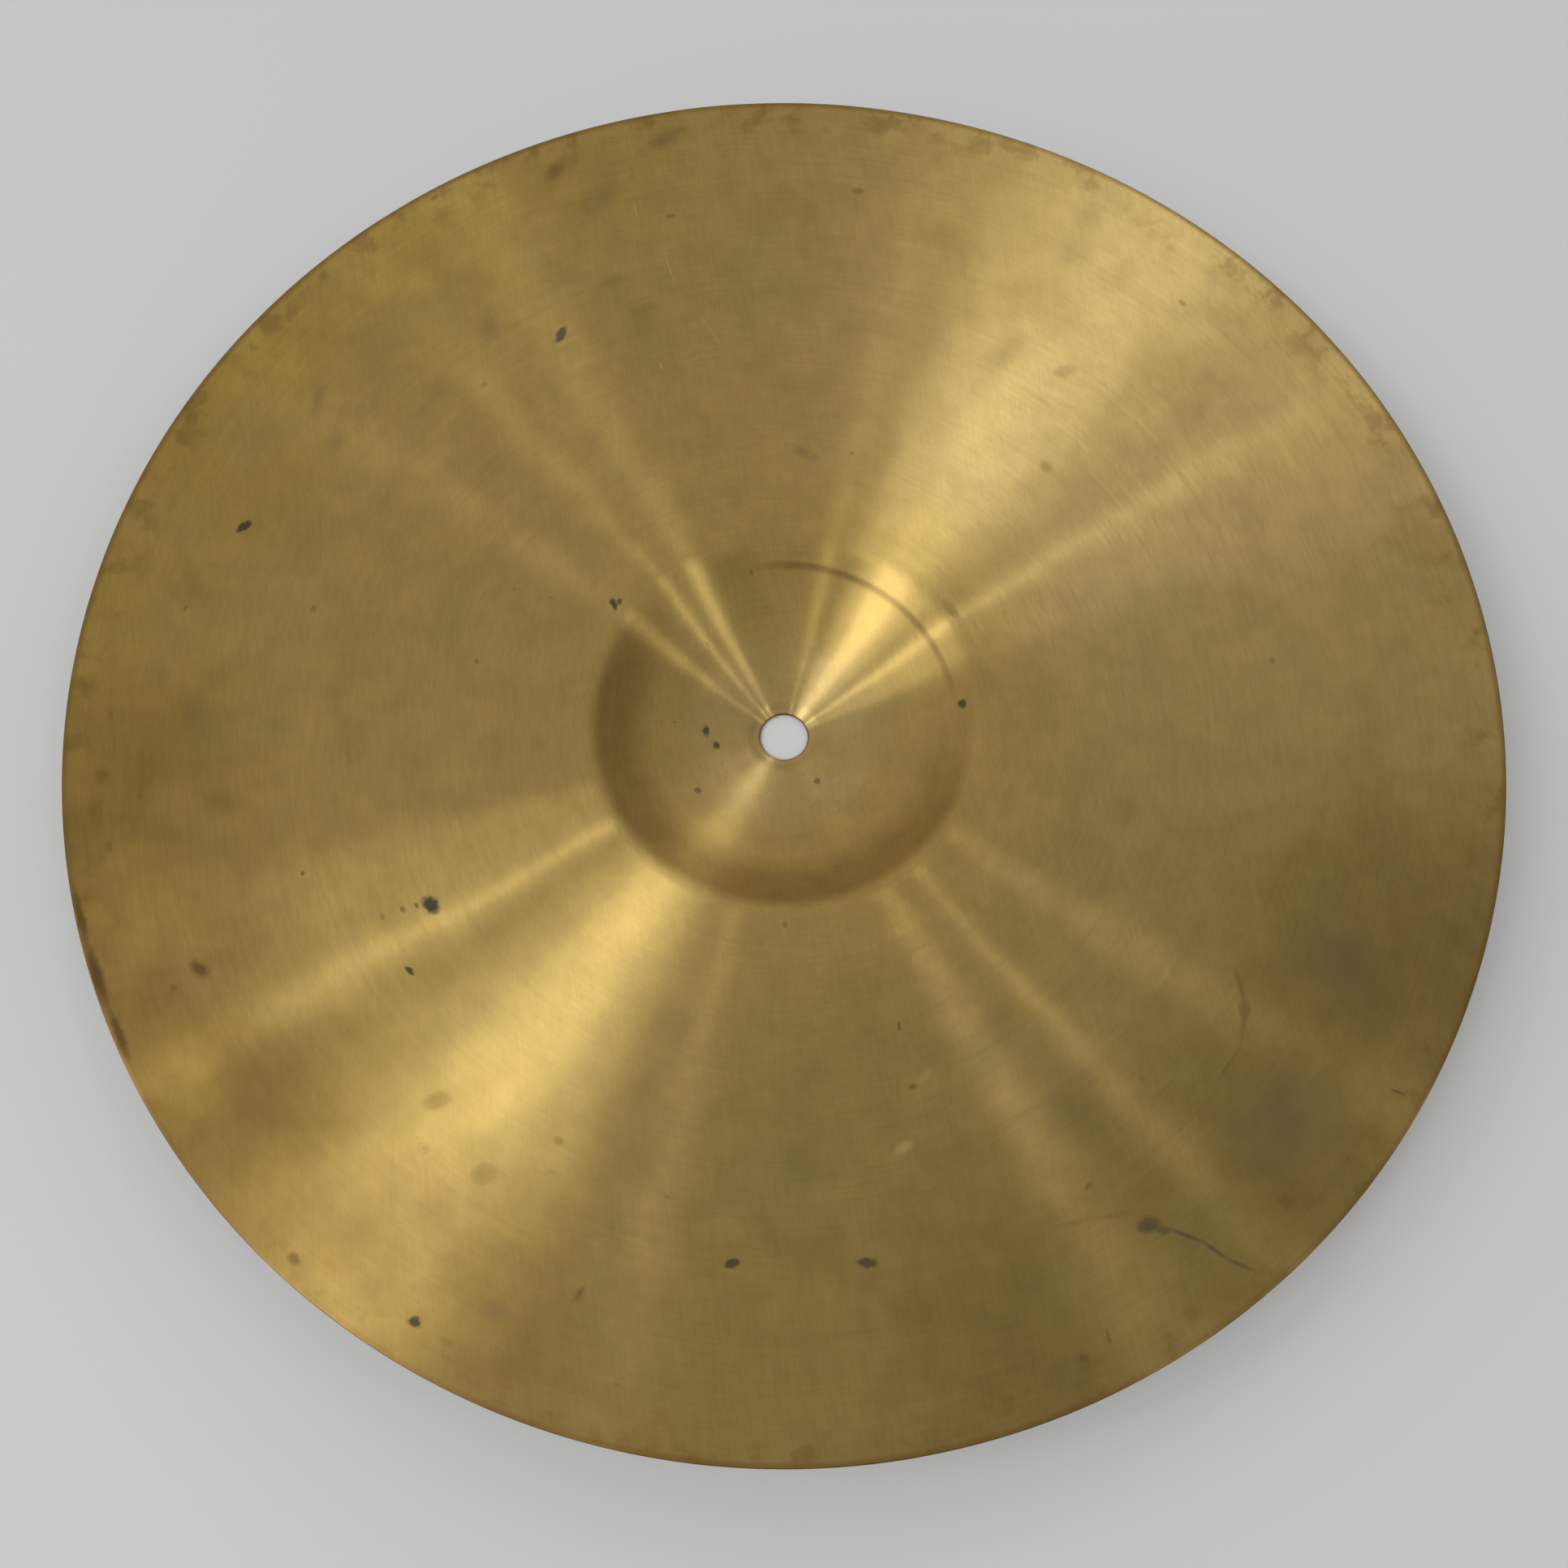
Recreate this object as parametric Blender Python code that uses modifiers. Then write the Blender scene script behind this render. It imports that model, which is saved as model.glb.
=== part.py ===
# Crash cymbal, 14 inch: one disc of brass sheet, spun and hammered into a dish with a bell in
# its middle and a punched hole. It lies on its bell with the hollow side up, so +Z leaves the
# hollow. The origin is the centre of the hole, at the lowest face of the bell.

import math

import bpy

# Driving dimensions, in metres
rim_radius = 0.1778
total_depth = 0.0330  # from the face it rests on to the top of the rim
hole_radius = 0.00635
land_radius = 0.0076  # the flat ring that the punch leaves round the hole
dimple_radius = 0.0098
dimple_depth = 0.0009
bell_radius = 0.0495  # where the crown and the bow would meet with no fillet between them
bow_arc_radius = 0.8200
bell_fillet_radius = 0.0100
crown_thickness = 0.00115
rim_thickness = 0.00085

# How finely the round shapes are divided
turn_steps = 96
crown_steps = 5
fillet_steps = 3
bow_steps = 6

merge_distance = 0.00005
brass_colour = (0.58, 0.40, 0.13, 1.0)
brass_roughness = 0.34


def clear_scene():
    for obj in list(bpy.data.objects):
        bpy.data.objects.remove(obj)


def arc(centre_height, arc_radius, from_radius, to_radius, steps):
    """Points on the lower side of a circle centred on the axis, from one radius to another."""
    points = []
    for step in range(steps + 1):
        radius = from_radius + (to_radius - from_radius) * step / steps
        points.append((radius, centre_height - math.sqrt(arc_radius**2 - radius**2)))
    return points


def circle_through(inner, outer):
    """The centre height and radius of the circle, centred on the axis, through two points."""
    spread = outer[0] ** 2 - inner[0] ** 2 + outer[1] ** 2 - inner[1] ** 2
    centre_height = spread / (2 * (outer[1] - inner[1]))
    return centre_height, math.hypot(inner[0], centre_height - inner[1])


def bell_fillet(crown_centre, crown_arc_radius, bow_centre):
    """The arc at the foot of the bell, which touches the crown's circle and the bow's."""
    to_crown = crown_arc_radius + bell_fillet_radius
    to_bow = bow_arc_radius + bell_fillet_radius
    spread = to_crown**2 - to_bow**2 - crown_centre**2 + bow_centre**2
    height = spread / (2 * (bow_centre - crown_centre))
    radius = math.sqrt(to_crown**2 - (height - crown_centre) ** 2)
    start = math.atan2(crown_centre - height, -radius)
    end = math.atan2(bow_centre - height, -radius)
    points = []
    for step in range(fillet_steps + 1):
        turn = start + (end - start) * step / fillet_steps
        across = bell_fillet_radius * math.cos(turn)
        up = bell_fillet_radius * math.sin(turn)
        points.append((radius + across, height + up))
    return points


def outer_face():
    """The profile of the face that the bell rests on, from the hole out to the rim."""
    rim_slope = math.asin(rim_radius / bow_arc_radius)
    rim_height = total_depth - rim_thickness * math.cos(rim_slope)
    bow_centre = rim_height + math.sqrt(bow_arc_radius**2 - rim_radius**2)
    bell_depth = bow_centre - math.sqrt(bow_arc_radius**2 - bell_radius**2)
    crown_centre, crown_arc_radius = circle_through((dimple_radius, dimple_depth), (bell_radius, bell_depth))
    foot = bell_fillet(crown_centre, crown_arc_radius, bow_centre)
    land = [(hole_radius, 0.0), (land_radius, 0.0)]
    crown = arc(crown_centre, crown_arc_radius, dimple_radius, foot[0][0], crown_steps)
    bow = arc(bow_centre, bow_arc_radius, foot[-1][0], rim_radius, bow_steps)
    return land + crown + foot[1:-1] + bow


def slope_between(start, end):
    return math.atan2(end[1] - start[1], end[0] - start[0])


def inner_face(outer):
    """The outer face moved in by the thickness of the sheet, which thins towards the rim."""
    slopes = [slope_between(start, end) for start, end in zip(outer, outer[1:])]
    points = []
    for index, (radius, height) in enumerate(outer):
        before = slopes[max(index - 1, 0)]
        after = slopes[min(index, len(slopes) - 1)]
        share = max(0.0, radius - land_radius) / (rim_radius - land_radius)
        thickness = crown_thickness + (rim_thickness - crown_thickness) * share
        slope = (before + after) / 2
        reach = thickness / math.cos((after - before) / 2)
        points.append((radius - reach * math.sin(slope), height + reach * math.cos(slope)))
    return points


def brass_material():
    material = bpy.data.materials.new("lathed_brass")
    material.use_nodes = True
    shader = material.node_tree.nodes["Principled BSDF"]
    shader.inputs["Base Color"].default_value = brass_colour
    shader.inputs["Metallic"].default_value = 1.0
    shader.inputs["Roughness"].default_value = brass_roughness
    return material


def make_cymbal(collection):
    outer = outer_face()
    inner = inner_face(outer)
    # The closed profile goes down the rim, in along the outer face, up the hole and out again.
    profile = outer[::-1] + inner
    corners = [(radius, 0.0, height) for radius, height in profile]
    edges = [(index, (index + 1) % len(corners)) for index in range(len(corners))]
    mesh = bpy.data.meshes.new("cymbal")
    mesh.from_pydata(corners, edges, [])
    mesh.materials.append(brass_material())
    cymbal = bpy.data.objects.new("cymbal", mesh)
    collection.objects.link(cymbal)

    turn = cymbal.modifiers.new("turn", "SCREW")
    turn.axis = "Z"
    turn.angle = 2 * math.pi
    turn.steps = turn_steps
    turn.render_steps = turn_steps
    turn.use_merge_vertices = True
    turn.merge_threshold = merge_distance
    turn.use_smooth_shade = True
    return cymbal


clear_scene()
cymbal_parts = bpy.data.collections.new("crash_cymbal")
bpy.context.scene.collection.children.link(cymbal_parts)
make_cymbal(cymbal_parts)
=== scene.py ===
import math

import bpy
from mathutils import Matrix, Vector


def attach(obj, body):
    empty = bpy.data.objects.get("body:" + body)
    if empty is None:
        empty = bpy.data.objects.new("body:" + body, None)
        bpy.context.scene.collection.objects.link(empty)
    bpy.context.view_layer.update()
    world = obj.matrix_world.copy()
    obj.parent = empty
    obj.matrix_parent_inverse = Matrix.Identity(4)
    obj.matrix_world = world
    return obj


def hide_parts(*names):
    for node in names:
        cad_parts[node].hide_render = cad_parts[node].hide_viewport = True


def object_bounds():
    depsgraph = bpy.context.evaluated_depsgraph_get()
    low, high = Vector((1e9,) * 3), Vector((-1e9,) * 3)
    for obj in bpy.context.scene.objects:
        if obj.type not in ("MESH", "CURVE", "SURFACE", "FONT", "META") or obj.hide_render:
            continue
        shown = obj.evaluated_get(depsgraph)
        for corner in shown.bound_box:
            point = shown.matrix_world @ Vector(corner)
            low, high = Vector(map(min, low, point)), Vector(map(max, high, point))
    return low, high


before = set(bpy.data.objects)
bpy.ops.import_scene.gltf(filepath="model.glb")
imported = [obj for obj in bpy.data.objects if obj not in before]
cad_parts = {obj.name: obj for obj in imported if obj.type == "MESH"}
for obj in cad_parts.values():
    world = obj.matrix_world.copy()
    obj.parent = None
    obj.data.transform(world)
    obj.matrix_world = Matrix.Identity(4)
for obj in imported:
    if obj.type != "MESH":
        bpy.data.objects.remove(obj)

cadLow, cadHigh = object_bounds()
scene = bpy.context.scene
cymbalNode = "cymbal"
rimRadius = (cadHigh.x - cadLow.x) / 2
rimHeight = cadHigh.z
holeRadius = min(math.hypot(v.co.x, v.co.y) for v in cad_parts[cymbalNode].data.vertices)
mm = 0.001


# ---- helpers for node trees
def wire(tree, value, socket):
    if isinstance(value, bpy.types.NodeSocket):
        tree.links.new(value, socket)
    else:
        socket.default_value = value


def calc(tree, operation, a, b=None, c=None, clamp=False):
    node = tree.nodes.new("ShaderNodeMath")
    node.operation = operation
    node.use_clamp = clamp
    for value, socket in zip((a, b, c), node.inputs):
        if value is not None:
            wire(tree, value, socket)
    return node.outputs[0]


def times(tree, value, *factors):
    for factor in factors:
        value = calc(tree, "MULTIPLY", value, factor)
    return value


def vecCalc(tree, operation, a, b=None, scale=None):
    node = tree.nodes.new("ShaderNodeVectorMath")
    node.operation = operation
    wire(tree, a, node.inputs[0])
    if b is not None:
        wire(tree, b, node.inputs[1])
    if scale is not None:
        wire(tree, scale, node.inputs["Scale"])
    return node.outputs["Value" if operation in ("LENGTH", "DISTANCE", "DOT_PRODUCT") else "Vector"]


def remap(tree, value, fromLow, fromHigh, toLow=0.0, toHigh=1.0, kind="SMOOTHSTEP"):
    node = tree.nodes.new("ShaderNodeMapRange")
    node.interpolation_type = kind
    for part, name in zip((value, fromLow, fromHigh, toLow, toHigh),
                          ("Value", "From Min", "From Max", "To Min", "To Max")):
        wire(tree, part, node.inputs[name])
    return node.outputs["Result"]


def level(tree, mask, low, high):
    return remap(tree, mask, 0.0, 1.0, low, high, "LINEAR")


def combine(tree, x=0.0, y=0.0, z=0.0):
    node = tree.nodes.new("ShaderNodeCombineXYZ")
    for value, socket in zip((x, y, z), node.inputs):
        wire(tree, value, socket)
    return node.outputs[0]


def addNoise(tree, vector, scale, detail=2.0, rough=0.5, distort=0.0, dims="3D", w=None):
    node = tree.nodes.new("ShaderNodeTexNoise")
    node.noise_dimensions = dims
    if vector is not None:
        tree.links.new(vector, node.inputs["Vector"])
    if w is not None:
        wire(tree, w, node.inputs["W"])
    node.inputs["Scale"].default_value = scale
    node.inputs["Detail"].default_value = detail
    node.inputs["Roughness"].default_value = rough
    node.inputs["Distortion"].default_value = distort
    return node.outputs[0]


def newGroup(kind, name, inputs, outputs):
    tree = bpy.data.node_groups.new(name, kind)
    for label, socketType, start in inputs:
        socket = tree.interface.new_socket(label, in_out="INPUT", socket_type=socketType)
        if start is not None:
            socket.default_value = start
    for label, socketType in outputs:
        tree.interface.new_socket(label, in_out="OUTPUT", socket_type=socketType)
    return tree, tree.nodes.new("NodeGroupInput"), tree.nodes.new("NodeGroupOutput")


def useGroup(tree, group, values):
    kind = "GeometryNodeGroup" if tree.bl_idname == "GeometryNodeTree" else "ShaderNodeGroup"
    node = tree.nodes.new(kind)
    node.node_tree = group
    for name, value in values.items():
        wire(tree, value, node.inputs[name])
    return node


# ---- the sheet, as one turned form
sheet = {
    "Rim Radius": rimRadius - 0.1 * mm,
    "Rim Height": rimHeight - 0.25 * mm,
    "Hole Radius": holeRadius,
    "Land Radius": 7.5 * mm,
    "Dimple Radius": 9.9 * mm,
    "Dimple Depth": 0.9 * mm,
    "Bell Radius": 50.2 * mm,
    "Bow Arc Radius": 820 * mm,
    "Foot Softness": 1.5 * mm,
    "Crown Thickness": 1.15 * mm,
    "Rim Thickness": 0.85 * mm,
    "Hammer Depth": 0.075 * mm,
    "Hammer Size": 26 * mm,
    "Band Depth": 0.012 * mm,
    "Rim Wave": 0.35 * mm,
    "Seed": 4.0,
}
turnSteps = 288


def buildHeightGroup():
    length = "NodeSocketFloat"
    tree, ins, outs = newGroup(
        "GeometryNodeTree", "cymbalProfile",
        [("Radius", length, None), ("Rim Radius", length, None), ("Rim Height", length, None),
         ("Land Radius", length, None), ("Dimple Radius", length, None), ("Dimple Depth", length, None),
         ("Bell Radius", length, None), ("Bow Arc Radius", length, None), ("Foot Softness", length, None),
         ("Rim Thickness", length, None)],
        [("Height", length)])
    get = ins.outputs

    def square(value):
        return times(tree, value, value)

    def drop(arcRadius, radius):  # from a circle's centre down to its lower side
        under = calc(tree, "SUBTRACT", square(arcRadius), square(radius))
        return calc(tree, "SQRT", calc(tree, "MAXIMUM", under, 0.0))

    rimFoot = calc(tree, "SUBTRACT", get["Rim Height"], get["Rim Thickness"])
    bowCentre = calc(tree, "ADD", rimFoot, drop(get["Bow Arc Radius"], get["Rim Radius"]))
    bow = calc(tree, "SUBTRACT", bowCentre, drop(get["Bow Arc Radius"], get["Radius"]))
    bellTop = calc(tree, "SUBTRACT", bowCentre, drop(get["Bow Arc Radius"], get["Bell Radius"]))
    rise = calc(tree, "SUBTRACT", bellTop, get["Dimple Depth"])
    spread = calc(tree, "SUBTRACT", square(get["Bell Radius"]), square(get["Dimple Radius"]))
    heights = calc(tree, "SUBTRACT", square(bellTop), square(get["Dimple Depth"]))
    crownCentre = calc(tree, "DIVIDE", calc(tree, "ADD", spread, heights), times(tree, rise, 2.0))
    reach = calc(tree, "SUBTRACT", crownCentre, get["Dimple Depth"])
    crownArc = calc(tree, "SQRT", calc(tree, "ADD", square(reach), square(get["Dimple Radius"])))
    crown = calc(tree, "SUBTRACT", crownCentre, drop(crownArc, get["Radius"]))
    dish = calc(tree, "SMOOTH_MIN", crown, bow, get["Foot Softness"])
    dimple = remap(tree, get["Radius"], get["Land Radius"], get["Dimple Radius"])
    wire(tree, times(tree, dish, dimple), outs.inputs["Height"])
    return tree


def buildPointGroup(profile):
    number = "NodeSocketFloat"
    names = ["Rim Radius", "Rim Height", "Hole Radius", "Land Radius", "Dimple Radius", "Dimple Depth",
             "Bell Radius", "Bow Arc Radius", "Foot Softness", "Crown Thickness", "Rim Thickness",
             "Hammer Depth", "Hammer Size", "Band Depth", "Rim Wave", "Seed"]
    tree, ins, outs = newGroup(
        "GeometryNodeTree", "sheetPoint",
        [("Turn", number, None), ("Radius", number, None), ("Through", number, None)]
        + [(name, number, None) for name in names],
        [("Position", "NodeSocketVector")])
    get = ins.outputs
    shape = {name: get[name] for name in names if name in profile.interface.items_tree}
    radius = get["Radius"]
    here = useGroup(tree, profile, {**shape, "Radius": radius}).outputs[0]
    step = 0.2 * mm
    nearby = useGroup(tree, profile, {**shape, "Radius": calc(tree, "ADD", radius, step)}).outputs[0]
    slope = calc(tree, "DIVIDE", calc(tree, "SUBTRACT", nearby, here), step)
    stretch = calc(tree, "SQRT", calc(tree, "ADD", times(tree, slope, slope), 1.0))
    thickness = remap(tree, radius, get["Land Radius"], get["Rim Radius"],
                      get["Crown Thickness"], get["Rim Thickness"], "LINEAR")
    lift = times(tree, thickness, stretch, get["Through"])

    angle = times(tree, get["Turn"], 2 * math.pi)
    east = calc(tree, "COSINE", angle)
    north = calc(tree, "SINE", angle)
    x = times(tree, radius, east)
    y = times(tree, radius, north)
    clear = remap(tree, radius, get["Dimple Radius"], times(tree, get["Dimple Radius"], 3.0))

    def unevenness(noise, depth):  # noise about zero, as high and as deep as depth
        return times(tree, calc(tree, "SUBTRACT", noise, 0.5), depth, 2.0)

    hammerScale = calc(tree, "DIVIDE", 1.0, get["Hammer Size"])
    hammerCoords = vecCalc(tree, "SCALE", combine(tree, x, y, get["Seed"]), scale=hammerScale)
    hammer = unevenness(addNoise(tree, hammerCoords, 1.0, 1.0), get["Hammer Depth"])
    bands = unevenness(addNoise(tree, None, 260.0, 2.0, 0.6, dims="1D", w=radius), get["Band Depth"])
    around = combine(tree, east, north, get["Seed"])
    outward = remap(tree, radius, get["Bell Radius"], get["Rim Radius"])
    wave = unevenness(addNoise(tree, around, 0.9, 1.5), times(tree, outward, get["Rim Wave"]))

    uneven = calc(tree, "ADD", calc(tree, "ADD", hammer, bands), wave)
    height = calc(tree, "ADD", calc(tree, "ADD", here, lift), times(tree, uneven, clear))
    wire(tree, combine(tree, x, y, height), outs.inputs["Position"])
    return tree


def buildSheetTree(point, materials):
    names = list(sheet)
    tree, ins, outs = newGroup(
        "GeometryNodeTree", "spunCymbal",
        [("Geometry", "NodeSocketGeometry", None)] + [(name, "NodeSocketFloat", None) for name in names],
        [("Geometry", "NodeSocketGeometry")])
    get = ins.outputs
    join = tree.nodes.new("GeometryNodeJoinGeometry")
    edgeRound = 0.3 * mm
    inside = calc(tree, "ADD", get["Hole Radius"], edgeRound)
    outside = calc(tree, "SUBTRACT", get["Rim Radius"], edgeRound)
    regions = {
        "hollowFace": {"rows": 200, "through": (1.0, 1.0), "mat": "hollow"},
        "rimEdge": {"rows": 5, "through": (1.0, 0.0), "mat": "edge"},
        "playingFace": {"rows": 124, "through": (0.0, 0.0), "mat": "playing"},
        "holeEdge": {"rows": 5, "through": (0.0, 1.0), "mat": "edge"},
    }
    for name, region in regions.items():
        grid = tree.nodes.new("GeometryNodeMeshGrid")
        grid.inputs["Vertices X"].default_value = turnSteps + 1
        grid.inputs["Vertices Y"].default_value = region["rows"]
        split = tree.nodes.new("ShaderNodeSeparateXYZ")
        tree.links.new(grid.outputs["UV Map"], split.inputs[0])
        turn, along = split.outputs["X"], split.outputs["Y"]
        start, end = region["through"]
        bend = times(tree, along, math.pi)
        swing = calc(tree, "SINE", bend)
        half = calc(tree, "MULTIPLY_ADD", calc(tree, "COSINE", bend), -0.5, 0.5)
        if name == "hollowFace":
            radius, through = remap(tree, along, 0.0, 1.0, inside, outside, "LINEAR"), start
        elif name == "playingFace":
            radius, through = remap(tree, along, 0.0, 1.0, outside, inside, "LINEAR"), start
        elif name == "rimEdge":
            radius = calc(tree, "MULTIPLY_ADD", swing, edgeRound, outside)
            through = remap(tree, half, 0.0, 1.0, start, end, "LINEAR")
        else:
            radius = calc(tree, "MULTIPLY_ADD", swing, -edgeRound, inside)
            through = remap(tree, half, 0.0, 1.0, start, end, "LINEAR")
        values = {key: get[key] for key in names}
        values.update({"Turn": turn, "Radius": radius, "Through": through})
        place = useGroup(tree, point, values)
        move = tree.nodes.new("GeometryNodeSetPosition")
        tree.links.new(grid.outputs["Mesh"], move.inputs["Geometry"])
        tree.links.new(place.outputs["Position"], move.inputs["Position"])
        paint = tree.nodes.new("GeometryNodeSetMaterial")
        paint.inputs["Material"].default_value = materials[region["mat"]]
        tree.links.new(move.outputs[0], paint.inputs["Geometry"])
        tree.links.new(paint.outputs[0], join.inputs[0])
    weld = tree.nodes.new("GeometryNodeMergeByDistance")
    weld.inputs["Distance"].default_value = 0.01 * mm
    tree.links.new(join.outputs[0], weld.inputs["Geometry"])
    smooth = tree.nodes.new("GeometryNodeSetShadeSmooth")
    tree.links.new(weld.outputs[0], smooth.inputs["Geometry"])
    real = tree.nodes.new("GeometryNodeRealizeInstances")
    tree.links.new(smooth.outputs[0], real.inputs[0])
    tree.links.new(real.outputs[0], outs.inputs["Geometry"])
    return tree


def makeCymbal(materials):
    point = buildPointGroup(buildHeightGroup())
    tree = buildSheetTree(point, materials)
    holder = bpy.data.objects.new("cymbalHolder", bpy.data.meshes.new("cymbalHolder"))
    scene.collection.objects.link(holder)
    spin = holder.modifiers.new("spin", "NODES")
    spin.node_group = tree
    for item in tree.interface.items_tree:
        if item.name in sheet and item.in_out == "INPUT":
            spin[item.identifier] = sheet[item.name]
    graph = bpy.context.evaluated_depsgraph_get()
    mesh = bpy.data.meshes.new_from_object(holder.evaluated_get(graph))
    bpy.data.objects.remove(holder)
    cymbal = bpy.data.objects.new("spun_disc", mesh)
    scene.collection.objects.link(cymbal)
    return cymbal


# ---- finishes
def buildPolarGroup():  # place on the disc as distance from the axis and direction around it
    tree, ins, outs = newGroup(
        "ShaderNodeTree", "discPolar", [("Vector", "NodeSocketVector", None)],
        [("Radius", "NodeSocketFloat"), ("Ring", "NodeSocketVector")])
    split = tree.nodes.new("ShaderNodeSeparateXYZ")
    tree.links.new(ins.outputs["Vector"], split.inputs[0])
    flat = combine(tree, split.outputs["X"], split.outputs["Y"], 0.0)
    wire(tree, vecCalc(tree, "LENGTH", flat), outs.inputs["Radius"])
    wire(tree, vecCalc(tree, "NORMALIZE", flat), outs.inputs["Ring"])
    return tree


def buildStreakGroup():  # cut marks that run round the disc, long ones and broken ones
    number = "NodeSocketFloat"
    tree, ins, outs = newGroup(
        "ShaderNodeTree", "latheStreaks",
        [("Radius", number, None), ("Ring", "NodeSocketVector", None), ("Pitch", number, 0.8 * mm),
         ("Breaks", number, 14.0), ("Long Share", number, 0.5)],
        [("Height", number), ("Tone", number)])
    get = ins.outputs
    rows = calc(tree, "DIVIDE", get["Radius"], get["Pitch"])
    up = combine(tree, 0.0, 0.0, rows)
    short = vecCalc(tree, "ADD", vecCalc(tree, "SCALE", get["Ring"], scale=get["Breaks"]), up)
    long = vecCalc(tree, "ADD", vecCalc(tree, "SCALE", get["Ring"], scale=1.3), up)
    shortNoise = addNoise(tree, short, 1.0, 1.0, 0.6)
    longNoise = addNoise(tree, long, 0.73, 2.0, 0.6)
    both = remap(tree, get["Long Share"], 0.0, 1.0, shortNoise, longNoise, "LINEAR")
    wire(tree, calc(tree, "SUBTRACT", both, 0.5), outs.inputs["Height"])
    wire(tree, remap(tree, both, 0.3, 0.7, 0.0, 1.0, "LINEAR"), outs.inputs["Tone"])
    return tree


def buildWipeGroup():  # faint lines left by wiping the disc one way
    number = "NodeSocketFloat"
    tree, ins, outs = newGroup(
        "ShaderNodeTree", "wipeLines",
        [("Vector", "NodeSocketVector", None), ("Width", number, 0.9 * mm), ("Length", number, 9 * mm)],
        [("Tone", number)])
    get = ins.outputs
    split = tree.nodes.new("ShaderNodeSeparateXYZ")
    tree.links.new(get["Vector"], split.inputs[0])
    lean = calc(tree, "MULTIPLY_ADD", split.outputs["Y"], 0.17, split.outputs["X"])
    across = calc(tree, "DIVIDE", lean, get["Width"])
    along = calc(tree, "DIVIDE", split.outputs["Y"], get["Length"])
    lines = addNoise(tree, combine(tree, across, along, 0.0), 1.0, 2.0, 0.6, 0.4)
    wire(tree, remap(tree, lines, 0.3, 0.7, 0.0, 1.0, "LINEAR"), outs.inputs["Tone"])
    return tree


def buildLeanGroup():  # leans the surface in and out across the cut marks, never along them
    number = "NodeSocketFloat"
    vector = "NodeSocketVector"
    tree, ins, outs = newGroup(
        "ShaderNodeTree", "cutLean",
        [("Normal", vector, None), ("Ring", vector, None), ("Slope", number, 0.0)],
        [("Normal", vector)])
    get = ins.outputs
    lean = vecCalc(tree, "SCALE", get["Ring"], scale=get["Slope"])
    wire(tree, vecCalc(tree, "NORMALIZE", vecCalc(tree, "ADD", get["Normal"], lean)), outs.inputs["Normal"])
    return tree


def buildCloudGroup():  # soft patches with an uneven edge
    number = "NodeSocketFloat"
    tree, ins, outs = newGroup(
        "ShaderNodeTree", "tarnishClouds",
        [("Vector", "NodeSocketVector", None), ("Size", number, 30 * mm), ("Low", number, 0.45),
         ("High", number, 0.65), ("Shift", number, 0.0)],
        [("Mask", number)])
    get = ins.outputs
    moved = vecCalc(tree, "ADD", get["Vector"], combine(tree, 0.0, 0.0, get["Shift"]))
    sized = vecCalc(tree, "SCALE", moved, scale=calc(tree, "DIVIDE", 1.0, get["Size"]))
    cloud = addNoise(tree, sized, 1.0, 3.0, 0.55)
    wire(tree, remap(tree, cloud, get["Low"], get["High"]), outs.inputs["Mask"])
    return tree


def buildMarkGroup():  # one oval mark, its long way along Axis
    number = "NodeSocketFloat"
    vector = "NodeSocketVector"
    tree, ins, outs = newGroup(
        "ShaderNodeTree", "ovalMark",
        [("Vector", vector, None), ("Centre", vector, None), ("Axis", vector, None),
         ("Half Length", number, 1 * mm), ("Half Width", number, 1 * mm), ("Hollow", number, 0.0),
         ("Softness", number, 0.5), ("Strength", number, 1.0)],
        [("Mask", number)])
    get = ins.outputs
    away = vecCalc(tree, "SUBTRACT", get["Vector"], get["Centre"])
    flat = vecCalc(tree, "MULTIPLY", away, (1.0, 1.0, 0.0))
    along = calc(tree, "DIVIDE", vecCalc(tree, "DOT_PRODUCT", flat, get["Axis"]), get["Half Length"])
    side = vecCalc(tree, "CROSS_PRODUCT", get["Axis"], (0.0, 0.0, 1.0))
    across = calc(tree, "DIVIDE", vecCalc(tree, "DOT_PRODUCT", flat, side), get["Half Width"])
    reach = calc(tree, "SQRT", calc(tree, "ADD", times(tree, along, along), times(tree, across, across)))
    full = remap(tree, reach, 1.0, calc(tree, "SUBTRACT", 1.0, get["Softness"]))
    middle = remap(tree, reach, get["Hollow"], times(tree, get["Hollow"], 0.6))
    hollow = times(tree, middle, calc(tree, "GREATER_THAN", get["Hollow"], 0.01))
    ring = calc(tree, "SUBTRACT", full, times(tree, hollow, 0.75), clamp=True)
    wire(tree, times(tree, ring, get["Strength"]), outs.inputs["Mask"])
    return tree


def buildPitGroup():  # scattered small pits, drawn out round the disc
    number = "NodeSocketFloat"
    tree, ins, outs = newGroup(
        "ShaderNodeTree", "scatteredPits",
        [("Radius", number, None), ("Ring", "NodeSocketVector", None), ("Spacing", number, 9 * mm),
         ("Around", number, 9.0), ("Size", number, 0.1), ("Share", number, 0.25)],
        [("Mask", number)])
    get = ins.outputs
    up = combine(tree, 0.0, 0.0, calc(tree, "DIVIDE", get["Radius"], get["Spacing"]))
    place = vecCalc(tree, "ADD", vecCalc(tree, "SCALE", get["Ring"], scale=get["Around"]), up)
    cells = tree.nodes.new("ShaderNodeTexVoronoi")
    cells.inputs["Scale"].default_value = 1.0
    tree.links.new(place, cells.inputs["Vector"])
    pick = tree.nodes.new("ShaderNodeSeparateXYZ")
    tree.links.new(cells.outputs["Color"], pick.inputs[0])
    chosen = calc(tree, "LESS_THAN", pick.outputs["X"], get["Share"])
    size = times(tree, get["Size"], calc(tree, "ADD", pick.outputs["Y"], 0.4))
    dot = remap(tree, cells.outputs["Distance"], size, times(tree, size, 0.4))
    wire(tree, times(tree, dot, chosen), outs.inputs["Mask"])
    return tree


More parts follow.
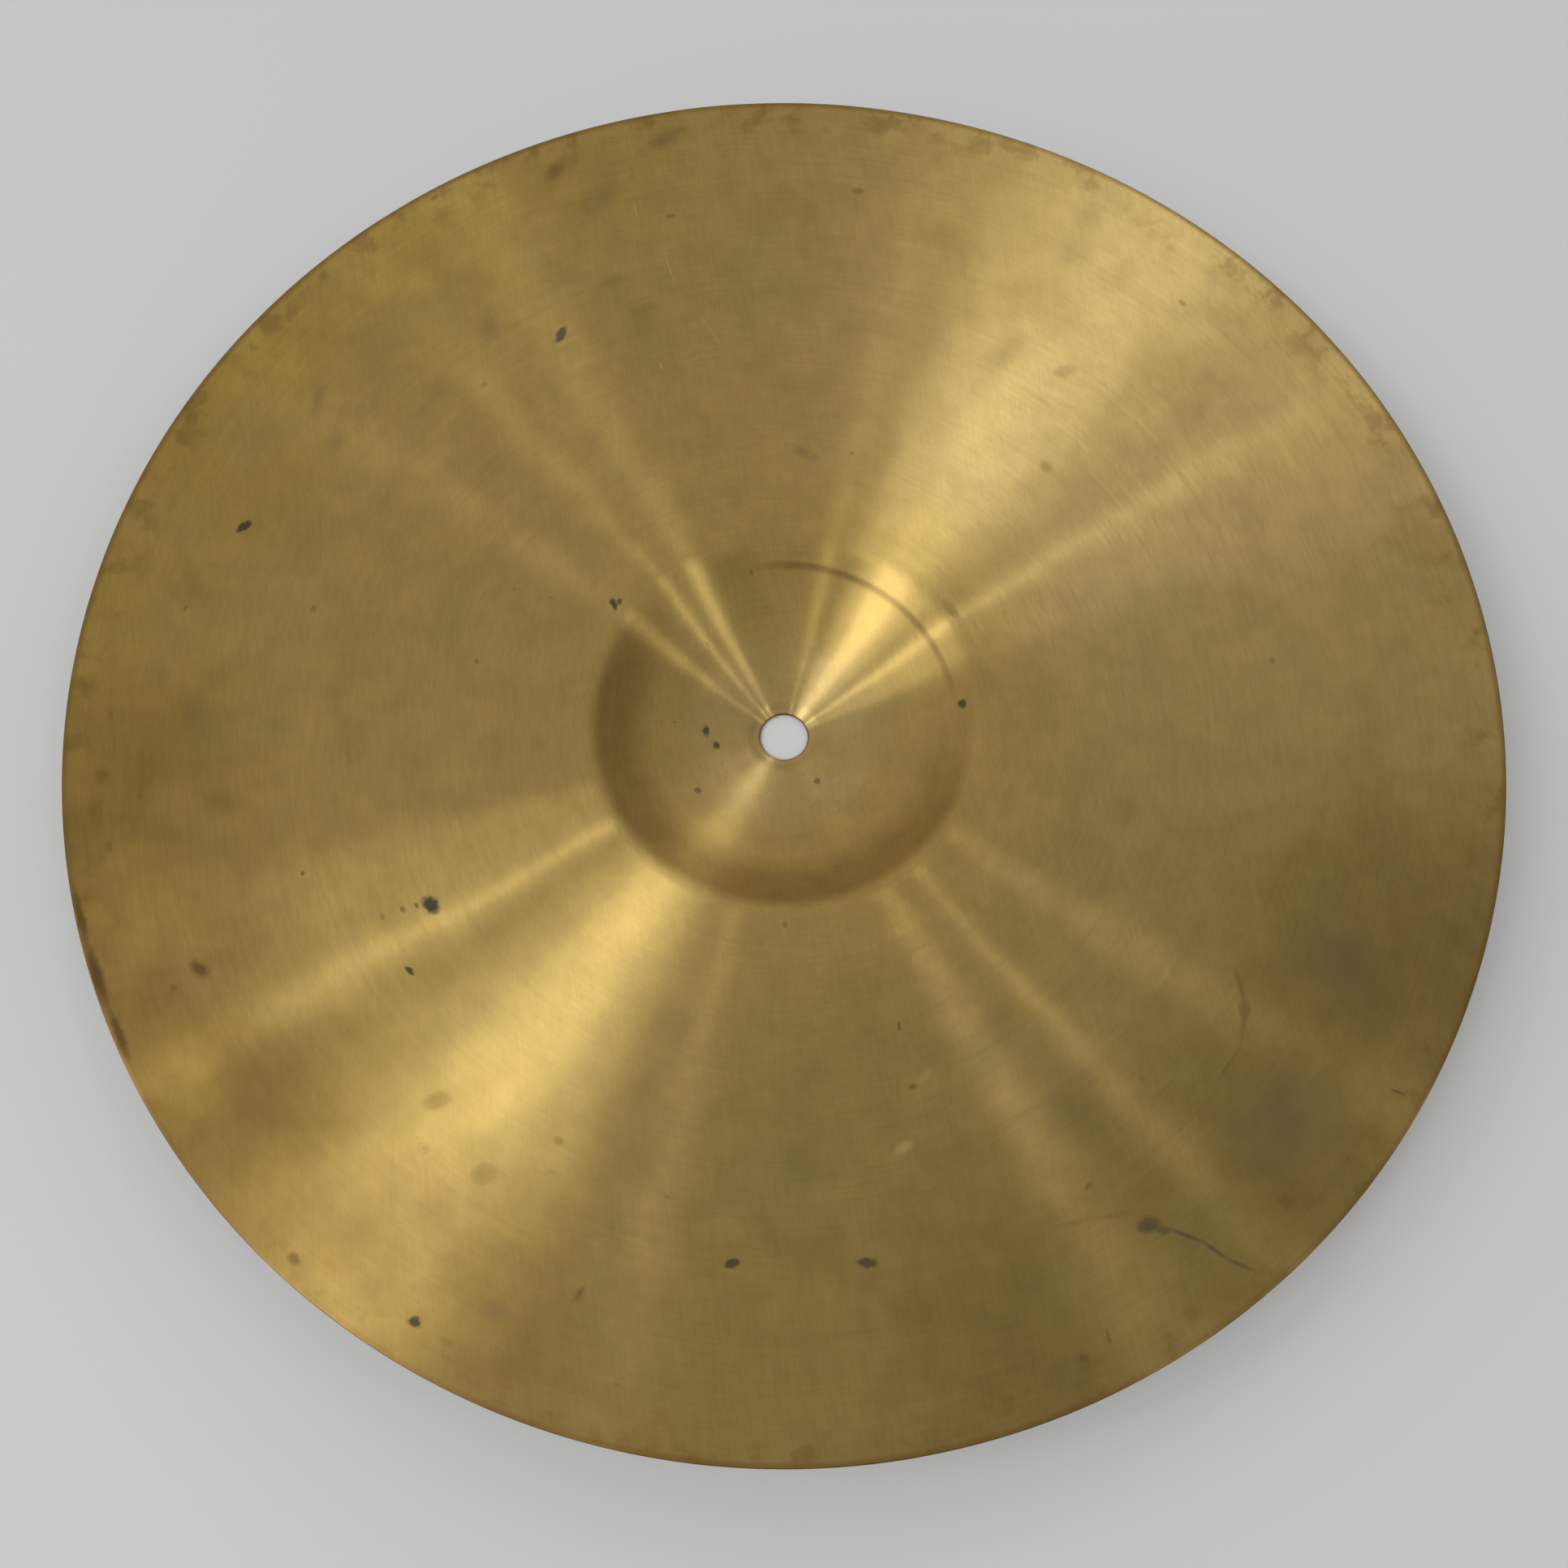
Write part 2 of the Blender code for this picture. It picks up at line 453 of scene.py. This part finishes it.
effects = {
    "polar": buildPolarGroup(),
    "streaks": buildStreakGroup(),
    "wipes": buildWipeGroup(),
    "lean": buildLeanGroup(),
    "clouds": buildCloudGroup(),
    "mark": buildMarkGroup(),
    "pits": buildPitGroup(),
}


def blend(tree, factor, first, second):
    node = tree.nodes.new("ShaderNodeMix")
    node.data_type = "RGBA"
    wire(tree, factor, node.inputs["Factor"])
    wire(tree, first, node.inputs["A"])
    wire(tree, second, node.inputs["B"])
    return node.outputs["Result"]


brass = {
    "clean": (0.50, 0.348, 0.114, 1),
    "pale": (0.55, 0.395, 0.155, 1),
    "ochre": (0.50, 0.335, 0.085, 1),
    "brown": (0.27, 0.163, 0.047, 1),
    "nearShade": (0.36, 0.255, 0.088, 1),
    "green": (0.33, 0.27, 0.095, 1),
    "shadow": (0.22, 0.165, 0.075, 1),
    "stainAndShade": (0.22, 0.13, 0.045, 1),
    "dark": (0.07, 0.066, 0.062, 1),
    "bright": (0.75, 0.56, 0.24, 1),
    "bellRough": 0.25,
    "bowRough": 0.215,
    "rimRough": 0.29,
    "bellSpread": 0.68,
    "bowSpread": 1.0,
}

# how far the small changes of tone go, and what wear does to the surface
wear = {
    "ringTone": (0.945, 1.055),
    "wipeTone": (0.955, 1.045),
    "cloudTone": (0.93, 1.07),
    "pits": 0.55,
    "markRough": 0.3,
    "fray": 1.3 * mm,
    "spreadChange": 0.7,
}

# the lathe's fine cuts face in and out by these slopes; with each, its share of the surface and its
# least roughness
cuts = [
    (0.0, 0.30, 0.285), (0.18, 0.215, 0.1), (-0.18, 0.215, 0.1), (0.37, 0.135, 0.1), (-0.37, 0.135, 0.1),
]

# marks on the hollow side: distance from the axis (mm), angle (degrees), half length and half width (mm),
# turn from the ring direction (degrees), strength; a seventh number opens that much of the middle
marks = {
    "dark": [
        (100.5, 210.0, 2.5, 1.8, 15, 0.9), (103.6, 209.2, 0.8, 0.5, 0, 0.6),
        (112.8, 216.5, 1.5, 0.8, 10, 0.85), (107.0, 208.8, 0.7, 0.5, 0, 0.45),
        (55.3, 144.5, 1.8, 0.9, 60, 0.75), (54.6, 142.9, 1.0, 0.6, 40, 0.6),
        (149.0, 160.8, 2.3, 1.0, -25, 0.75), (168.8, 241.0, 1.5, 1.2, 0, 0.75),
        (135.7, 265.0, 1.8, 1.0, 20, 0.7), (136.3, 278.0, 2.4, 1.0, -10, 0.6),
        (125.0, 119.3, 2.6, 1.1, 35, 0.65), (46.7, 6.0, 1.2, 1.0, 0, 0.7),
        (20.7, 178.0, 1.4, 1.0, 0, 0.7), (18.0, 190.0, 1.2, 0.9, 0, 0.7), (27.8, 216.0, 1.0, 0.8, 0, 0.6),
        (15.5, 303.8, 0.9, 0.7, 0, 0.5), (126.0, 200.0, 0.7, 0.5, 0, 0.5),
        (84.8, 289.2, 1.2, 0.5, 60, 0.45), (151.4, 303.2, 2.8, 1.7, -20, 0.5),
        (154.2, 303.9, 1.8, 1.1, -50, 0.4),
    ],
    "darkLines": [
        (158.0, 305.2, 4.2, 0.62, -57, 0.55), (163.8, 306.2, 4.0, 0.55, -74, 0.55),
        (169.6, 307.0, 3.6, 0.5, -62, 0.5), (171.8, 325.5, 1.9, 0.4, -80, 0.6),
    ],
    "brown": [
        (53.7, 35.0, 3.2, 1.6, 0, 0.5), (155.0, 206.0, 2.9, 1.7, 25, 0.75),
        (161.6, 206.8, 1.2, 0.9, 0, 0.5), (137.8, 232.6, 1.4, 1.2, 0, 0.75, 0.75),
        (127.8, 230.3, 3.8, 2.4, 60, 0.32), (134.5, 239.0, 3.8, 2.8, 40, 0.25),
        (99.6, 45.0, 2.0, 1.4, 0, 0.4), (124.0, 52.0, 3.6, 2.0, 50, 0.3),
        (149.2, 252.0, 2.2, 1.0, 70, 0.55), (173.2, 230.8, 1.9, 1.4, 0, 0.5),
        (176.4, 198.5, 8.0, 1.0, 1, 0.7), (176.2, 203.5, 8.5, 1.5, 0, 0.85),
        (176.0, 208.5, 7.0, 1.1, -1, 0.8), (134.2, 325.0, 2.6, 1.5, 30, 0.35),
        (166.5, 313.0, 2.0, 1.8, 0, 0.4), (137.2, 300.8, 1.4, 0.7, 20, 0.45),
        (168.5, 293.0, 1.4, 1.1, 0, 0.5), (167.0, 295.5, 1.9, 0.6, 80, 0.45),
        (99.5, 288.0, 1.0, 0.7, 0, 0.5), (168.5, 187.0, 2.4, 1.8, 0, 0.3),
        (168.8, 112.2, 3.6, 2.2, 30, 0.4), (134.0, 161.0, 12.0, 12.0, 0, 0.2, 0.86),
        (132.0, 158.0, 12.2, 11.0, 0, 0.14, 0.8),
    ],
    "brownLines": [
        (130.6, 327.0, 5.0, 0.75, 41, 0.6), (136.1, 323.3, 4.4, 0.8, 23, 0.55),
        (138.3, 319.2, 5.2, 0.65, 3, 0.45), (145.6, 301.2, 4.6, 0.9, -22, 0.35),
        (142.4, 297.5, 4.8, 0.8, -16, 0.3),
    ],
    "soft": [
        (149.2, 333.8, 9.0, 7.5, 30, 0.55), (159.0, 246.0, 3.2, 2.6, 0, 0.5),
        (158.0, 108.8, 6.5, 4.5, 20, 0.35), (170.0, 101.5, 5.0, 2.5, 10, 0.45),
        (151.2, 145.5, 6.0, 1.8, 30, 0.45), (141.0, 148.0, 4.0, 2.2, 20, 0.35),
        (136.5, 126.3, 5.0, 3.5, 50, 0.35), (133.8, 110.8, 4.0, 2.4, 0, 0.3),
        (122.8, 108.5, 4.5, 2.4, 10, 0.28), (76.5, 86.2, 2.6, 1.8, 0, 0.45),
        (75.0, 84.0, 2.2, 1.5, 0, 0.35), (147.5, 181.8, 8.0, 5.0, 15, 0.35),
        (141.2, 190.5, 6.0, 4.0, 40, 0.3), (120.0, 305.0, 14.0, 9.0, 50, 0.3),
        (155.0, 318.0, 17.0, 12.0, 0, 0.4), (98.0, 300.0, 12.0, 8.0, 0, 0.25),
        (112.0, 272.0, 12.0, 7.0, 0, 0.2), (150.0, 33.0, 9.0, 6.0, 70, 0.2),
        (120.0, 60.0, 7.0, 3.5, 60, 0.25), (106.0, 48.0, 6.0, 3.0, 50, 0.22),
    ],
    "scratch": [
        (151.0, 105.8, 3.2, 0.24, 90, 0.5), (133.0, 103.8, 6.4, 0.26, -85, 0.45),
        (113.0, 100.2, 6.0, 0.24, -67, 0.35), (106.2, 108.5, 1.3, 0.3, 90, 0.6),
        (112.5, 284.5, 2.8, 1.4, 15, 0.5), (98.0, 290.0, 3.0, 1.2, 30, 0.25),
    ],
}


def discPlace(radius, angle):
    turn = math.radians(angle)
    return Vector((radius * mm * math.cos(turn), radius * mm * math.sin(turn), 0))


def addMarks(tree, vector, rows, softness=0.55):
    fadeRoom = 1.35  # a mark fades out over its edge, so it is drawn this much wider
    mask = None
    for radius, angle, halfLength, halfWidth, turn, strength, *hollow in rows:
        heading = math.radians(angle + 90 + turn)
        node = useGroup(tree, effects["mark"], {
            "Vector": vector, "Centre": discPlace(radius, angle),
            "Axis": (math.cos(heading), math.sin(heading), 0),
            "Half Length": fadeRoom * halfLength * mm, "Half Width": fadeRoom * halfWidth * mm,
            "Hollow": sum(hollow), "Softness": softness, "Strength": strength})
        one = node.outputs["Mask"]
        mask = one if mask is None else calc(tree, "MAXIMUM", mask, one)
    return mask


def newBrass(name):
    mat = bpy.data.materials.new(name)
    mat.use_nodes = True
    tree = mat.node_tree
    tree.nodes.remove(tree.nodes["Principled BSDF"])
    coords = tree.nodes.new("ShaderNodeTexCoord").outputs["Object"]
    return mat, tree, coords


def brassFace(tree, tangent, colour, rough):
    shader = tree.nodes.new("ShaderNodeBsdfPrincipled")
    shader.inputs["Metallic"].default_value = 1.0
    shader.inputs["Anisotropic"].default_value = 1.0
    shader.inputs["Anisotropic Rotation"].default_value = 0.25
    tree.links.new(tangent, shader.inputs["Tangent"])
    tree.links.new(colour, shader.inputs["Base Color"])
    tree.links.new(rough, shader.inputs["Roughness"])
    return shader


def cutFinish(tree, ring, colour, rough, spread):  # one shader for each way the cuts face
    tangent = tree.nodes.new("ShaderNodeTangent")
    tangent.direction_type = "RADIAL"
    tangent.axis = "Z"
    facing = tree.nodes.new("ShaderNodeNewGeometry").outputs["Normal"]
    whole = None
    total = 0.0
    for slope, share, leastRough in cuts:
        shader = brassFace(tree, tangent.outputs[0], colour, calc(tree, "MAXIMUM", rough, leastRough))
        leaned = useGroup(tree, effects["lean"], {
            "Normal": facing, "Ring": ring, "Slope": times(tree, spread, slope)})
        tree.links.new(leaned.outputs["Normal"], shader.inputs["Normal"])
        total += share
        if whole is None:
            whole = shader.outputs[0]
            continue
        mix = tree.nodes.new("ShaderNodeMixShader")
        mix.inputs[0].default_value = share / total
        tree.links.new(whole, mix.inputs[1])
        tree.links.new(shader.outputs[0], mix.inputs[2])
        whole = mix.outputs[0]
    tree.links.new(whole, tree.nodes["Material Output"].inputs["Surface"])


def tone(tree, colour, mask, low, high):  # darken or lighten a colour by a mask
    return vecCalc(tree, "SCALE", colour, scale=level(tree, mask, low, high))


class Disc:  # says where on the disc a colour or a finish lies, each as a mask from 0 to 1
    def __init__(self, tree, coords):
        self.tree = tree
        self.coords = coords
        polar = useGroup(tree, effects["polar"], {"Vector": coords})
        self.radius = polar.outputs["Radius"]
        self.ring = polar.outputs["Ring"]

    def streaks(self, pitch, longShare):  # cut marks this far apart
        return useGroup(self.tree, effects["streaks"], {
            "Radius": self.radius, "Ring": self.ring, "Pitch": pitch * mm, "Long Share": longShare})

    def pits(self, around):
        return useGroup(self.tree, effects["pits"], {
            "Radius": self.radius, "Ring": self.ring, "Around": around}).outputs["Mask"]

    def clouds(self, size, low, high, shift):  # patches of about this size
        return useGroup(self.tree, effects["clouds"], {
            "Vector": self.coords, "Size": size * mm, "Low": low, "High": high,
            "Shift": shift * mm}).outputs["Mask"]

    def towards(self, angle, low, high):  # one side of the disc
        turn = math.radians(angle)
        side = (math.cos(turn), math.sin(turn), 0.0)
        return remap(self.tree, vecCalc(self.tree, "DOT_PRODUCT", self.ring, side), low, high)

    def between(self, none, full):  # from none of it at one distance from the axis to all of it at another
        return remap(self.tree, self.radius, none * mm, full * mm)


def tarnishAndPaintedShade(tree, disc, outer):  # the slow changes of colour over the hollow side: tarnish, with painted shade towards the lower right, the near side, on the bell's wall and foot and along the rim's edge, and painted light towards the right
    colour = blend(tree, times(tree, disc.clouds(60, 0.40, 0.66, 10), 0.2), brass["clean"], brass["ochre"])
    colour = blend(tree, times(tree, disc.between(32, 18), 0.8), colour, brass["pale"])
    # painted light: paler towards the right, between 50 and 90 mm from the axis
    rightSide = times(tree, disc.towards(20, 0.1, 1.0), disc.between(50, 90), 0.9)
    colour = blend(tree, rightSide, colour, brass["pale"])

    leftSide = level(tree, disc.towards(200, -0.6, 0.9), 0.15, 0.95)
    rimOchre = times(tree, outer, disc.clouds(45, 0.34, 0.58, 70), leftSide)
    colour = blend(tree, rimOchre, colour, brass["ochre"])
    # painted shade: browner towards the lower right, from 95 mm out
    lowRight = times(tree, disc.towards(315, 0.72, 0.98), disc.between(95, 160))
    shade = remap(tree, disc.clouds(50, 0.3, 0.65, 140), 0.0, 1.0, 0.55, 1.0)
    colour = blend(tree, times(tree, lowRight, shade), colour, brass["brown"])
    lowLeft = times(tree, disc.towards(222, 0.6, 1.0), disc.between(118, 160))
    lowLeft = times(tree, lowLeft, level(tree, disc.clouds(30, 0.3, 0.6, 410), 0.35, 0.85))
    colour = blend(tree, lowLeft, colour, brass["brown"])
    # painted shade: duller and darker towards the near side of the bow, just outside the bell
    nearSide = times(tree, disc.towards(300, 0.0, 1.0), disc.between(48, 90), 0.65)
    colour = blend(tree, nearSide, colour, brass["nearShade"])

    patches = times(tree, disc.clouds(26, 0.56, 0.70, 200), disc.between(60, 150), 0.2)
    colour = blend(tree, patches, colour, brass["brown"])
    greenish = times(tree, disc.clouds(34, 0.55, 0.72, 260), disc.between(60, 120), 0.22)
    colour = blend(tree, greenish, colour, brass["green"])

    # painted shade: the bell's wall browner towards the lower left, where it turns from the light
    wall = times(tree, disc.between(33, 43), disc.between(51, 47))
    wall = times(tree, wall, level(tree, disc.towards(245, -0.8, 0.3), 0.0, 0.68))
    colour = blend(tree, wall, colour, brass["brown"])
    # painted shade: a thin dark line round the bell's foot on the upper right
    footLine = times(tree, disc.between(43.4, 44.8), disc.between(46.2, 45.2))
    footLine = times(tree, footLine, level(tree, disc.towards(55, 0.6, 0.95), 0.0, 0.65))
    colour = blend(tree, footLine, colour, brass["stainAndShade"])

    grime = times(tree, disc.between(163, 176), disc.clouds(8, 0.50, 0.66, 520), 0.5)
    colour = blend(tree, grime, colour, brass["brown"])
    # painted shade: a dark band along the rim's outer edge, all round
    colour = blend(tree, times(tree, disc.between(175.8, 177.2), 0.6), colour, brass["brown"])
    # painted shade: the lower right is darkened once more as a whole
    return tone(tree, colour, lowRight, 1.0, 0.86)


def fray(tree, coords):  # shifts every point a little, so that the edge of a mark is uneven
    ragged = tree.nodes.new("ShaderNodeTexNoise")
    ragged.inputs["Scale"].default_value = 900.0
    ragged.inputs["Detail"].default_value = 1.0
    tree.links.new(coords, ragged.inputs["Vector"])
    away = vecCalc(tree, "SUBTRACT", ragged.outputs["Color"], (0.5, 0.5, 0.5))
    return vecCalc(tree, "ADD", coords, vecCalc(tree, "SCALE", away, scale=wear["fray"]))


def makeHollowBrass():
    mat, tree, coords = newBrass("hollowBrass")
    disc = Disc(tree, coords)
    outer = disc.between(105, 176)
    fine = disc.streaks(0.8, 0.5)
    wipes = useGroup(tree, effects["wipes"], {"Vector": coords}).outputs["Tone"]
    colour = tarnishAndPaintedShade(tree, disc, outer)
    colour = tone(tree, colour, fine.outputs["Tone"], *wear["ringTone"])
    colour = tone(tree, colour, wipes, *wear["wipeTone"])
    colour = tone(tree, colour, disc.clouds(9, 0.25, 0.75, 330), *wear["cloudTone"])

    frayed = fray(tree, coords)
    brownMask = addMarks(tree, frayed, marks["brown"], 0.8)
    darkMask = addMarks(tree, frayed, marks["dark"])
    colour = blend(tree, addMarks(tree, frayed, marks["soft"], 0.95), colour, brass["shadow"])
    colour = blend(tree, addMarks(tree, coords, marks["scratch"], 0.9), colour, brass["bright"])
    colour = blend(tree, addMarks(tree, coords, marks["brownLines"], 0.9), colour, brass["stainAndShade"])
    colour = blend(tree, brownMask, colour, brass["stainAndShade"])
    colour = blend(tree, times(tree, disc.pits(9.0), wear["pits"]), colour, brass["brown"])
    colour = blend(tree, addMarks(tree, coords, marks["darkLines"], 0.8), colour, brass["dark"])
    colour = blend(tree, darkMask, colour, brass["dark"])

    bow = disc.between(47, 52)
    rough = level(tree, bow, brass["bellRough"], brass["bowRough"])
    rough = calc(tree, "ADD", rough, times(tree, outer, brass["rimRough"] - brass["bowRough"]))
    marked = calc(tree, "MAXIMUM", darkMask, brownMask)
    rough = calc(tree, "ADD", rough, times(tree, marked, wear["markRough"]))
    spread = level(tree, bow, brass["bellSpread"], brass["bowSpread"])
    spread = calc(tree, "MULTIPLY_ADD", fine.outputs["Height"], wear["spreadChange"], spread)
    cutFinish(tree, disc.ring, colour, rough, spread)
    return mat


def makePlayingBrass():
    mat, tree, coords = newBrass("playingBrass")
    disc = Disc(tree, coords)
    outer = disc.between(105, 176)
    fine = disc.streaks(1.1, 0.8)
    cloud = disc.clouds(40, 0.45, 0.65, 500)
    colour = blend(tree, times(tree, cloud, 0.7), brass["clean"], brass["ochre"])
    colour = blend(tree, times(tree, outer, 0.3), colour, brass["brown"])
    colour = tone(tree, colour, fine.outputs["Tone"], 0.9, 1.08)
    colour = blend(tree, times(tree, disc.pits(12.0), 0.5), colour, brass["brown"])
    spread = level(tree, outer, brass["bowSpread"], 0.8)
    cutFinish(tree, disc.ring, colour, level(tree, cloud, 0.21, 0.28), spread)
    return mat


def makeEdgeBrass():
    mat, tree, coords = newBrass("edgeBrass")
    disc = Disc(tree, coords)
    cloud = disc.clouds(14, 0.45, 0.65, 900)
    colour = blend(tree, cloud, brass["brown"], brass["stainAndShade"])
    cutFinish(tree, disc.ring, colour, level(tree, cloud, 0.28, 0.42), 0.5)
    return mat


materials = {
    "hollow": makeHollowBrass(),
    "playing": makePlayingBrass(),
    "edge": makeEdgeBrass(),
}
print("brass finishes ready")
cymbal = makeCymbal(materials)
print("cymbal:", len(cymbal.data.polygons), "faces")
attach(cymbal, "root")
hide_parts(cymbalNode)

# ---- floor, light and camera
studio = {
    "floorColour": (0.79, 0.80, 0.83, 1),
    "floorHalf": 4.0,
    "worldColour": (1.0, 0.98, 0.92, 1),
    "worldStrength": 0.56,
    "brightSide": (-0.85, 0.45, 0.30),
    "darkShare": 0.55,
}


def makeFloor():
    half = studio["floorHalf"]
    corners = [(-half, -half, 0), (half, -half, 0), (half, half, 0), (-half, half, 0)]
    mesh = bpy.data.meshes.new("floor")
    mesh.from_pydata(corners, [], [(0, 1, 2, 3)])
    floor = bpy.data.objects.new("floor", mesh)
    floor.location.z = cadLow.z - 0.05 * mm
    scene.collection.objects.link(floor)
    mat = bpy.data.materials.new("paleFloor")
    mat.use_nodes = True
    shader = mat.node_tree.nodes["Principled BSDF"]
    shader.inputs["Base Color"].default_value = studio["floorColour"]
    shader.inputs["Roughness"].default_value = 0.6
    mesh.materials.append(mat)


# distance in metres from the middle of the rim, elevation in degrees, and how far on the near side of it
# the camera aims
view = {"distance": 0.3998, "elevation": 69.32, "aimNear": 0.0233, "lens": 36.97, "sensor": 36.0}

# each lamp stands where a point leaning by tilt, along one line through the hole, mirrors it to the camera;
# line and spread in degrees, length in metres, power in watts
lamps = {
    "overheadFar": {"line": 60, "tilt": -0.16, "spread": 16, "length": 0.24, "power": 1.05},
    "overheadSide": {"line": 49.5, "tilt": 0.22, "spread": 13, "length": 0.3, "power": 0.36},
    "lowKey": {"line": 53.5, "tilt": 0.38, "spread": 13, "length": 0.75, "power": 3.3},
    "lowKeySoft": {"line": 53, "tilt": 0.38, "spread": 31, "length": 0.75, "power": 4.5},
    "sideSoft": {"line": 28, "tilt": 0.40, "spread": 22, "length": 0.6, "power": 2.9},
    "sideStrip": {"line": 32.6, "tilt": 0.39, "spread": 1.8, "length": 0.7, "power": 1.4},
    "rearStrip": {"line": 76, "tilt": 0.41, "spread": 4, "length": 0.6, "power": 0.6},
    "rightSoft": {"line": 119.0, "tilt": 0.43, "spread": 6, "length": 0.45, "power": 1.6},
    "rightStrip": {"line": 129.8, "tilt": 0.42, "spread": 1.8, "length": 0.5, "power": 0.9},
    "rightBetween": {"line": 130, "tilt": 0.48, "spread": 24, "length": 0.4, "power": 0.9},
    "rightLow": {"line": 144.5, "tilt": 0.43, "spread": 6, "length": 0.5, "power": 1.15},
}
lampColour = (0.96, 0.985, 1.0)
lampHeight = 2.0


def cameraPlace():
    rise = math.radians(view["elevation"])
    return Vector((0, -math.cos(rise), math.sin(rise))) * view["distance"] + Vector((0, 0, rimHeight))


def makeLamp(name, facts):
    toCamera = (cameraPlace() - Vector((0, 0, 12 * mm))).normalized()
    away = math.radians(facts["line"] + 180)
    lean = facts["tilt"]
    mirror = Vector((lean * math.cos(away), lean * math.sin(away), math.sqrt(1 - lean * lean)))
    toLamp = 2 * toCamera.dot(mirror) * mirror - toCamera
    place = toLamp * (lampHeight / toLamp.z)
    along = Vector((math.cos(away), math.sin(away), 0))
    along.z = -along.dot(toLamp) / toLamp.z
    along.normalize()
    across = toLamp.cross(along)
    data = bpy.data.lights.new(name, "AREA")
    data.shape = "RECTANGLE"
    data.size = 4 * abs(lean) * math.radians(facts["spread"])
    data.size_y = facts["length"]
    data.energy = facts["power"]
    data.color = lampColour
    lamp = bpy.data.objects.new(name, data)
    turn = Matrix((across, along, across.cross(along))).transposed()
    if turn.col[2].dot(toLamp) < 0:
        turn = Matrix((-across, along, -across.cross(along))).transposed()
    lamp.matrix_world = Matrix.Translation(place) @ turn.to_4x4()
    scene.collection.objects.link(lamp)


def makeWorld():
    world = bpy.data.worlds.new("studio")
    world.use_nodes = True
    tree = world.node_tree
    sky = tree.nodes["Background"]
    sky.inputs["Strength"].default_value = studio["worldStrength"]
    heading = tree.nodes.new("ShaderNodeTexCoord").outputs["Generated"]
    side = vecCalc(tree, "DOT_PRODUCT", heading, studio["brightSide"])
    share = remap(tree, side, -0.7, 0.7, studio["darkShare"], 1.0)
    tint = vecCalc(tree, "SCALE", studio["worldColour"][:3], scale=share)
    tree.links.new(tint, sky.inputs["Color"])
    scene.world = world


def makeCamera():
    place = cameraPlace()
    target = Vector((0, -view["aimNear"], rimHeight))
    data = bpy.data.cameras.new("viewCamera")
    data.lens = view["lens"]
    data.sensor_width = view["sensor"]
    data.clip_start = 0.01
    camera = bpy.data.objects.new("viewCamera", data)
    camera.location = place
    camera.rotation_euler = (target - place).to_track_quat("-Z", "Y").to_euler()
    scene.collection.objects.link(camera)
    scene.camera = camera


makeFloor()
for name, facts in lamps.items():
    makeLamp(name, facts)
makeWorld()
makeCamera()
print("floor, camera and", len(lamps), "lamps ready")
scene.view_settings.view_transform = "Standard"
